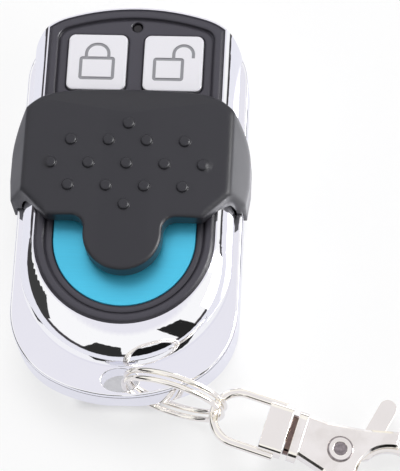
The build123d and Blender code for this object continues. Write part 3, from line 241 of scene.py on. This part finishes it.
@dataclass(frozen=True)
class Finish:
    """A surface finish: what all of them share.

    Attributes:
        HANDLED: the width of the marks of handling, in metres.
        HANDLED_DETAIL: how many finer layers they have.
        LEAST_DULL: the least roughness, as a share of what is given.
        DULLING: how much the marks can add, as a share of it.
        CLOUD: the width of the clouds in the colour, in metres.
        CLOUD_TONE: how dark the darkest cloud is.
        name: the material's name.
        colour: its main colour.
        roughness: how dull it is.
        grain: the width of the surface's grain, in metres.
        grain_depth: the depth of that grain, in metres.
        soft: the radius to which its edges look rounded, in metres.
    """

    HANDLED: ClassVar[float] = 6 * MM
    HANDLED_DETAIL: ClassVar[int] = 4
    LEAST_DULL: ClassVar[float] = 0.85
    DULLING: ClassVar[float] = 0.3
    CLOUD: ClassVar[float] = 3 * MM
    CLOUD_TONE: ClassVar[float] = 0.93

    name: str
    colour: Colour
    roughness: float
    grain: float = 0.4 * MM
    grain_depth: float = 0.004 * MM
    soft: float = 0.0

    def material(self) -> bpy.types.Material:
        """The finished material, made once."""
        if self.name not in bpy.data.materials:
            bench = Bench(bpy.data.materials.new(self.name))
            bench.wire("Roughness", self.dulling(bench))
            bench.bump(bench.noise(self.grain), self.grain_depth, self.softness(bench))
            self.paint(bench)
        return bpy.data.materials[self.name]

    def softness(self, bench: Bench) -> Value:
        """The radius to which edges look rounded."""
        return self.soft

    def dulling(self, bench: Bench) -> Signal:
        """Roughness, a little uneven from handling."""
        handled = bench.noise(self.HANDLED, self.HANDLED_DETAIL)
        return handled * (self.DULLING * self.roughness) + self.LEAST_DULL * self.roughness

    def paint(self, bench: Bench) -> None:
        """Colours the surface, a little uneven."""
        darker = toned(self.colour, self.CLOUD_TONE)
        bench.wire("Base Color", bench.blend(bench.noise(self.CLOUD), darker, self.colour))


@dataclass(frozen=True)
class Plating(Finish):
    """Bright metal plating.

    Attributes:
        DRIFT: how far the tint's patches lie apart, in metres.
        DRIFT_DETAIL: how many finer layers they have.
        tint: a second colour that drifts over it.
    """

    DRIFT: ClassVar[float] = 9 * MM
    DRIFT_DETAIL: ClassVar[int] = 2

    tint: Colour = (0.8, 0.8, 0.8)

    def paint(self, bench: Bench) -> None:
        """Metal in its colour, drifting to the tint."""
        drift = bench.noise(self.DRIFT, self.DRIFT_DETAIL)
        bench.wire("Base Color", bench.blend(drift, self.colour, self.tint))
        bench.wire("Metallic", 1.0)


@dataclass(frozen=True)
class CastNickel(Plating):
    """Nickel plate on a casting that turns about a line, with painted shade in the gap and hollow by that
    line and a painted shadow ring round it.

    Attributes:
        EDGE: the width over which the painted shade sets in, in metres.
        MOTTLE: the width of the tint's patches, in metres.
        MOTTLE_DETAIL: how many finer layers they have.
        MOTTLE_SPAN: the noise at which the tint starts and at which it is full.
        STREAK: the width of the light specks in the painted shade, in metres.
        STREAK_TONE: how many times as light as the dark part they are.
        joint: the joint whose line it is measured from.
        near: where the painted shade starts along that line, in metres.
        far: where it ends.
        reach: how far from the line it reaches, in metres.
        shadow_rim: how far from the line a painted shadow ring starts, in metres.
        painted_shade: the painted shade's colour.
    """

    EDGE: ClassVar[float] = 0.08 * MM
    MOTTLE: ClassVar[float] = 4 * MM
    MOTTLE_DETAIL: ClassVar[int] = 4
    MOTTLE_SPAN: ClassVar[Span] = (0.35, 0.7)
    STREAK: ClassVar[float] = 0.5 * MM
    STREAK_TONE: ClassVar[float] = 6.0

    joint: str = "clasp_swivel"
    near: float = 0.0
    far: float = 0.0
    reach: float = 0.0
    shadow_rim: float = 100 * MM
    painted_shade: Colour = (0.05, 0.035, 0.03)

    def paint(self, bench: Bench) -> None:
        """Nickel, with the painted shade blended in."""
        joint = next(one for one in frame["record"]["behaviour"]["joints"] if one["name"] == self.joint)
        away = [bench.part(axis) - joint["pos_m"][axis.value] for axis in Axis]
        along = sum(part * size for part, size in zip(away, joint["axis"]))
        beside = (sum(part * part for part in away) - along * along).maths("SQRT")
        # painted shade in the gap and hollow along the line, and a painted shadow ring beyond shadow_rim
        dark = along.window((self.near, self.near + self.EDGE), (self.far, self.far + self.EDGE))
        dark = dark * (1 - beside.ramp(self.reach, self.reach + self.EDGE))
        dark = dark + beside.ramp(self.shadow_rim, self.shadow_rim + self.EDGE)
        mottle = bench.noise(self.MOTTLE, self.MOTTLE_DETAIL).ramp(*self.MOTTLE_SPAN)
        plate = bench.blend(mottle, self.colour, self.tint)
        streaked = bench.blend(bench.noise(self.STREAK), self.painted_shade, toned(self.painted_shade, self.STREAK_TONE))
        bench.wire("Base Color", bench.blend(dark, plate, streaked))
        bench.wire("Metallic", 1.0)


@dataclass(frozen=True)
class Moulding(Finish):
    """Moulded plastic, a little uneven in colour.

    Attributes:
        COAT_ROUGHNESS: how dull the gloss on top is.
        CRISP_SOFT: the radius to which crisp edges look rounded, in metres.
        CRISP_EDGE: the width over which they turn soft, in metres.
        coat: how much gloss lies on top.
        crisp: how far from the middle the edges stay crisp, in metres.
    """

    COAT_ROUGHNESS: ClassVar[float] = 0.12
    CRISP_SOFT: ClassVar[float] = 0.2 * MM
    CRISP_EDGE: ClassVar[float] = 1 * MM

    coat: float = 0.0
    crisp: float = 0.0

    def softness(self, bench: Bench) -> Value:
        """The radius to which edges look rounded, less in the middle."""
        if not self.crisp:
            return self.soft
        outer = abs(bench.part(Axis.X)).ramp(self.crisp, self.crisp + self.CRISP_EDGE)
        return outer * (self.soft - self.CRISP_SOFT) + self.CRISP_SOFT

    def paint(self, bench: Bench) -> None:
        """Colour, and a gloss coat."""
        super().paint(bench)
        bench.wire("Coat Weight", self.coat)
        bench.wire("Coat Roughness", self.COAT_ROUGHNESS)


@dataclass(frozen=True)
class Foil(Finish):
    """Satin coloured metal foil, brushed across.

    Attributes:
        BRUSH: the width of a brush mark, in metres.
        BRUSH_DETAIL: how many finer layers the marks have.
        BRUSH_STRETCH: how much finer they are along each axis.
        BRUSH_TONE: how dark the darkest of them is.
        metal: how metallic it looks.
    """

    BRUSH: ClassVar[float] = 0.25 * MM
    BRUSH_DETAIL: ClassVar[int] = 3
    BRUSH_STRETCH: ClassVar[Triple] = (0.05, 1, 1)
    BRUSH_TONE: ClassVar[float] = 0.9

    metal: float = 0.35

    def paint(self, bench: Bench) -> None:
        """Colour with fine brushing across the case."""
        brushing = bench.noise(self.BRUSH, self.BRUSH_DETAIL, self.BRUSH_STRETCH)
        bench.wire("Base Color", bench.blend(brushing, toned(self.colour, self.BRUSH_TONE), self.colour))
        bench.wire("Metallic", self.metal)


@dataclass(frozen=True)
class EngravedPaint(Finish):
    """Silver paint on a button, with grey ink in the engraved symbol.

    Attributes:
        FLECK: the width of the paint's flecks, in metres.
        FLECK_DETAIL: how many finer layers they have.
        FLECK_TONE: how dark the darkest fleck is.
        INK_EDGE: the height over which the ink sets in, in metres.
        ink: the ink's colour.
        floor: the height below which there is ink, in metres.
    """

    FLECK: ClassVar[float] = 0.08 * MM
    FLECK_DETAIL: ClassVar[int] = 1
    FLECK_TONE: ClassVar[float] = 0.94
    INK_EDGE: ClassVar[float] = 0.02 * MM

    ink: Colour = (0.3, 0.3, 0.32)
    floor: float = 14.78 * MM

    def paint(self, bench: Bench) -> None:
        """Paint above, ink below."""
        inked = 1 - bench.part(Axis.Z).ramp(self.floor - self.INK_EDGE, self.floor)
        flecks = bench.noise(self.FLECK, self.FLECK_DETAIL)
        paint = bench.blend(flecks, toned(self.colour, self.FLECK_TONE), self.colour)
        bench.wire("Base Color", bench.blend(inked, paint, self.ink))


@dataclass(frozen=True)
class SolderMask(Finish):
    """Green solder mask over copper tracks.

    Attributes:
        TRACKS_PER_METRE: how close the tracks lie.
        TRACK_EDGE: where a track's edge starts and ends, as shares of the distance between tracks.
        TRACK_TONE: how many times as light as the rest the tracks are.
    """

    TRACKS_PER_METRE: ClassVar[float] = 400.0
    TRACK_EDGE: ClassVar[Span] = (0.05, 0.09)
    TRACK_TONE: ClassVar[float] = 1.8

    def paint(self, bench: Bench) -> None:
        """Mask, lighter over the tracks."""
        lines = bench.node("ShaderNodeTexVoronoi", {"feature": "DISTANCE_TO_EDGE", "distance": "MANHATTAN"},
                           {"Vector": bench.place(), "Scale": self.TRACKS_PER_METRE})
        tracks = 1 - lines.ramp(*self.TRACK_EDGE)
        bench.wire("Base Color", bench.blend(tracks, self.colour, toned(self.colour, self.TRACK_TONE)))


CHROME = Plating("case_chrome", (0.95, 0.95, 0.97), roughness=0.035, grain=2.5 * MM, grain_depth=0.0006 * MM,
                 tint=(0.92, 0.92, 0.95))
NICKEL_LOOK = dict(colour=(1.0, 0.965, 0.9), roughness=0.08, grain=0.7 * MM, grain_depth=0.003 * MM,
                   soft=0.15 * MM, tint=(0.9, 0.86, 0.79))
NICKEL = Plating("clasp_nickel", **NICKEL_LOOK)
# the hook: painted shade in the gap between the swivel block and the hook's flange
HOOK_NICKEL = CastNickel("hook_nickel", **NICKEL_LOOK, near=0.15 * MM, far=1.25 * MM, reach=4 * MM)
# the rivet: painted shade in its middle and a painted shadow ring at the edge of its head
RIVET_NICKEL = CastNickel("rivet_nickel", **NICKEL_LOOK, joint="gate_open", near=-2.05 * MM, far=2.05 * MM,
                          reach=1.2 * MM, shadow_rim=1.82 * MM, painted_shade=(0.09, 0.08, 0.08))
PANEL_SATIN = Moulding("panel_satin_black", (0.05, 0.047, 0.061), roughness=0.34, grain=0.2 * MM,
                       grain_depth=0.001 * MM, soft=0.7 * MM)
ACCENT_FOIL = Foil("accent_blue_foil", (0.075, 0.6, 0.86), roughness=0.32, grain=0.2 * MM,
                   grain_depth=0.001 * MM)
BUTTON_PAINT = EngravedPaint("button_silver_paint", (0.86, 0.85, 0.89), roughness=0.34, grain=0.15 * MM,
                             grain_depth=0.001 * MM)
COVER_MATTE = Moulding("cover_matte_charcoal", (0.017, 0.0165, 0.022), roughness=0.42, grain=0.25 * MM,
                       grain_depth=0.003 * MM, soft=1.6 * MM, crisp=12.6 * MM)
EPOXY = Moulding("epoxy_black", (0.02, 0.02, 0.02), roughness=0.6)
TIN = Plating("tinned_sheet", (0.7, 0.7, 0.71), roughness=0.3)
SCREW_ZINC = Plating("screw_zinc", (0.5, 0.5, 0.52), roughness=0.3)
COPPER = Plating("bare_copper", (0.75, 0.4, 0.22), roughness=0.3, tint=(0.65, 0.33, 0.18))
LENS = Moulding("lamp_lens_smoke", (0.01, 0.008, 0.01), roughness=0.3)
LAMP_RED = Moulding("lamp_red", (0.5, 0.03, 0.02), roughness=0.25, coat=0.5)
JACKET = Foil("cell_jacket", (0.5, 0.4, 0.12), roughness=0.3, metal=0.7)
BOARD = SolderMask("solder_mask", (0.01, 0.12, 0.04), roughness=0.3)


def dress(finish: Finish, *nodes: str) -> None:
    """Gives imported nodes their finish.

    Args:
        finish: the finish.
        nodes: the nodes' names.
    """
    material = finish.material()
    for name in nodes:
        for holder in frame["nodes"][name].material_slots:
            holder.material = material
        log.info("%s has %s", name, finish.name)


@dataclass
class Case:
    """The two chrome halves, the panel in them and what shows in it."""

    def dress(self) -> None:
        """Finishes the shells, the panel, the lamp window and the screws."""
        dress(CHROME, "front_housing", "rear_housing")
        dress(PANEL_SATIN, "front_panel")
        dress(ACCENT_FOIL, "accent_plate")
        dress(LENS, "light_pipe")
        dress(SCREW_ZINC, "case_screws")


@dataclass
class Buttons:
    """The four push buttons and their plungers.

    Attributes:
        names: what sets each button's nodes apart.
    """

    names: Tuple[str, ...] = ("lock", "unlock", "lower_left", "lower_right")

    def dress(self) -> None:
        """Paints the buttons and their symbols."""
        dress(BUTTON_PAINT, *[f"button_{name}" for name in self.names])
        dress(EPOXY, *[f"plunger_{name}" for name in self.names])


@dataclass
class Cover:
    """The sliding cover."""

    def dress(self) -> None:
        """Gives the cover its matte plastic."""
        dress(COVER_MATTE, "slide_cover")


@dataclass
class Electronics:
    """The board, what is on it, and the cell with its contacts."""

    def dress(self) -> None:
        """Finishes every inner piece."""
        dress(BOARD, "circuit_board")
        dress(EPOXY, "tact_switch_bodies", "encoder_chip", "output_transistor", "resistors_and_capacitors")
        dress(TIN, "tact_switch_covers", "snap_domes", "resonator_can", "contact_negative",
              "contact_positive")
        dress(BUTTON_PAINT, "trimmer_capacitor")
        dress(COPPER, "antenna_loop")
        dress(LAMP_RED, "status_led")
        dress(JACKET, "battery_cell")


@dataclass
class KeyChain:
    """The split ring and the clasp."""

    def dress(self) -> None:
        """Plates the ring and the clasp."""
        dress(NICKEL, "split_ring", "clasp_eye", "clasp_gate")
        dress(HOOK_NICKEL, "clasp_hook")
        dress(RIVET_NICKEL, "gate_rivet")
        dress(SCREW_ZINC, "gate_spring")


@dataclass(frozen=True)
class Card:
    """A dark card that shows only in reflections.

    Attributes:
        DISTANCE: how far from the object its corners are, in metres.
        ROUND_A_PLANE: a plane's corners in their order round it.
        HIDDEN_FROM: the kinds of ray that pass through it.
        name: the card's name.
        corners: where its corners stand, each as degrees down from straight up and degrees round from X.
        shade: its brightness.
    """

    DISTANCE: ClassVar[float] = 1.2
    ROUND_A_PLANE: ClassVar[Tuple[int, ...]] = (0, 1, 3, 2)
    HIDDEN_FROM: ClassVar[Tuple[str, ...]] = ("camera", "diffuse", "transmission", "shadow")

    name: str
    corners: Tuple[Span, ...]
    shade: float

    def stand(self) -> None:
        """Stands the card round the object."""
        bpy.ops.object.select_all(action="DESELECT")
        bpy.ops.mesh.primitive_plane_add(size=1)
        card = bpy.context.active_object
        card.name = self.name
        for index, (tilt, around) in zip(self.ROUND_A_PLANE, self.corners):
            turned = Euler((0, math.radians(tilt), math.radians(around))).to_matrix()
            card.data.vertices[index].co = turned @ Vector((0, 0, self.DISTANCE))
        for way in self.HIDDEN_FROM:
            setattr(card, f"visible_{way}", False)
        bench = Bench(bpy.data.materials.new(self.name))
        bench.glow(bench.ray("Glossy"), toned(WHITE, self.shade))
        card.data.materials.append(bench.block)


@dataclass(frozen=True)
class Lamp:
    """A soft square lamp that points at the object.

    Attributes:
        name: the lamp's name.
        place: where its middle hangs, in metres.
        size: its width, in metres.
        power: its power, in watts.
        diffuse: whether it lights dull surfaces.
        glossy: whether reflections show it.
    """

    name: str
    place: Triple
    size: float
    power: float
    diffuse: bool = True
    glossy: bool = True

    def hang(self) -> None:
        """Hangs the lamp."""
        bpy.ops.object.light_add(type="AREA", location=self.place)
        lamp = bpy.context.active_object
        lamp.name = self.name
        lamp.data.shape = "SQUARE"
        lamp.data.size = self.size
        lamp.data.energy = self.power
        lamp.visible_diffuse, lamp.visible_glossy = self.diffuse, self.glossy
        lamp.rotation_euler = (-lamp.location).to_track_quat("-Z", "Y").to_euler()


CARDS = (
    Card("card_left", ((80, 161), (51, 194), (76, 209), (97, 203)), shade=0.05),
    Card("card_right", ((37, -64), (45, -42), (99, -32), (99, -46)), shade=0.02),
    Card("card_near_left", ((57, -114), (60, -95), (97, -92), (97, -126)), shade=0.03),
    Card("card_near_right", ((66, -86), (70, -60), (96, -53), (96, -90)), shade=0.01),
)
LAMPS = (
    Lamp("key_lamp", place=(-0.1, 0.5, 0.8), size=0.6, power=5.2, glossy=False),
    Lamp("side_lamp", place=(0.7, -0.05, 0.16), size=0.45, power=2.5),
    Lamp("glint_lamp", place=(0.645, 0.114, 0.459), size=0.2, power=5.0, diffuse=False),
)


@dataclass
class Studio:
    """The floor, the sky and the camera, and the cards and lamps among them.

    Attributes:
        floor_half: half the floor's width, in metres.
        floor_shade: how much light the floor gives back.
        floor_roughness: how dull it is.
        floor_seen: how much plain white is mixed into what the camera sees of it.
        floor_mirrored: how much plain light is mixed into what reflections see of it.
        floor_sheen: that light's colour.
        floor_lit: its colour in the lit patch beside the cover.
        lit_across: where the lit patch rises and falls along X, in metres.
        lit_along: where it rises and falls along Y.
        under_half: where the part of the floor that the eyelet shows fades out at its sides, in metres.
        under_near: where it fades in from its near end.
        under_share: how much less of the plain white it gets.
        sky: the sky's strength for dull surfaces; it is 1 to the camera and in reflections.
        sky_stops: the sky's colours by height, from the horizon at 0 to straight up at 1.
        eye: where the camera is, in metres.
        right: the direction of the camera's own X axis.
        upward: that of its Y axis.
        backward: that of its Z axis.
        focal_pixels: its focal length, in pixels of the photograph.
        frame_height: the photograph's height, in pixels.
        sensor: the sensor's size along the longer side of the frame, in millimetres.
        nearest: the least distance that the camera sees, in metres.
    """

    floor_half: float = 1.5
    floor_shade: float = 0.97
    floor_roughness: float = 0.9
    floor_seen: float = 0.68
    floor_mirrored: float = 0.8
    floor_sheen: Colour = (0.84, 0.84, 0.92)
    floor_lit: Colour = (4.2, 4.2, 4.4)
    lit_across: Tuple[Span, Span] = ((0.02, 0.026), (0.036, 0.046))
    lit_along: Tuple[Span, Span] = ((-0.02, -0.005), (0.022, 0.032))
    under_half: Span = (0.006, 0.009)
    under_near: Span = (-0.0345, -0.032)
    under_share: float = 0.6
    sky: float = 0.45
    sky_stops: Tuple[Tuple[float, Colour], ...] = (
        (0.13, (0.06, 0.055, 0.06)), (0.17, WHITE), (0.8, WHITE), (0.88, (0.85, 0.84, 0.9)))
    eye: Triple = (0.04111, -0.14844, 0.38405)
    right: Triple = (0.99710, 0.04881, -0.05838)
    upward: Triple = (-0.02474, 0.93343, 0.35792)
    backward: Triple = (0.07197, -0.35544, 0.93193)
    focal_pixels: float = 2400.0
    frame_height: float = 471.0
    sensor: float = 36.0
    nearest: float = 0.01

    def floor(self) -> None:
        """Lays the pale floor."""
        bpy.ops.mesh.primitive_plane_add(size=2 * self.floor_half)
        plane = bpy.context.active_object
        plane.name = "studio_floor"
        bench = Bench(bpy.data.materials.new("floor_white"))
        bench.wire("Base Color", bench.opaque(toned(WHITE, self.floor_shade)))
        bench.wire("Roughness", self.floor_roughness)
        bench.wire("Specular IOR Level", 0.0)
        across, along = bench.part(Axis.X), bench.part(Axis.Y)
        lit = across.window(*self.lit_across) * along.window(*self.lit_along)
        sheen = bench.blend(lit, self.floor_sheen, self.floor_lit)
        bench.glow(bench.ray("Glossy") * self.floor_mirrored, sheen)
        under = (1 - abs(across).ramp(*self.under_half)) * along.ramp(*self.under_near)
        bench.glow(bench.ray("Camera") * (1 - under * self.under_share) * self.floor_seen, WHITE)
        plane.data.materials.append(bench.block)

    def world(self) -> None:
        """Lights evenly from all round, brighter to the camera and in reflections."""
        world = bpy.data.worlds.new("studio_white")
        bpy.context.scene.world = world
        bench = Bench(world, "Background")
        seen, mirrored = bench.ray("Camera"), bench.ray("Glossy")
        bright = seen.maths("MAXIMUM", seen, mirrored)
        height = bench.part(Axis.Z, "Generated")
        bench.wire("Color", bench.node("ShaderNodeValToRGB", {"stops": self.sky_stops}, {"Fac": height}))
        bench.wire("Strength", bright * (1 - self.sky) + self.sky)

    def camera(self) -> None:
        """Sets the camera where the photograph was taken from."""
        data = bpy.data.cameras.new("photo_camera")
        camera = bpy.data.objects.new("photo_camera", data)
        bpy.context.scene.collection.objects.link(camera)
        turn = Matrix((self.right, self.upward, self.backward)).transposed().to_4x4()
        camera.matrix_world = Matrix.Translation(self.eye) @ turn
        data.sensor_width = self.sensor
        data.lens = self.focal_pixels / self.frame_height * self.sensor
        data.clip_start = self.nearest
        bpy.context.scene.camera = camera

    def build(self) -> None:
        """Sets up everything round the object."""
        self.camera()
        self.floor()
        self.world()
        for lamp in LAMPS:
            lamp.hang()
        for card in CARDS:
            card.stand()
        bpy.context.scene.view_settings.view_transform = "Standard"


def main() -> None:
    """Builds the scene in order."""
    logging.basicConfig(level=logging.INFO, format="%(name)s: %(message)s")
    bpy.ops.object.select_all(action="DESELECT")
    for assembly in (Case(), Buttons(), Cover(), Electronics(), KeyChain()):
        assembly.dress()
        log.info("%s is done", type(assembly).__name__)
    Studio().build()


if __name__ == "__main__":
    main()
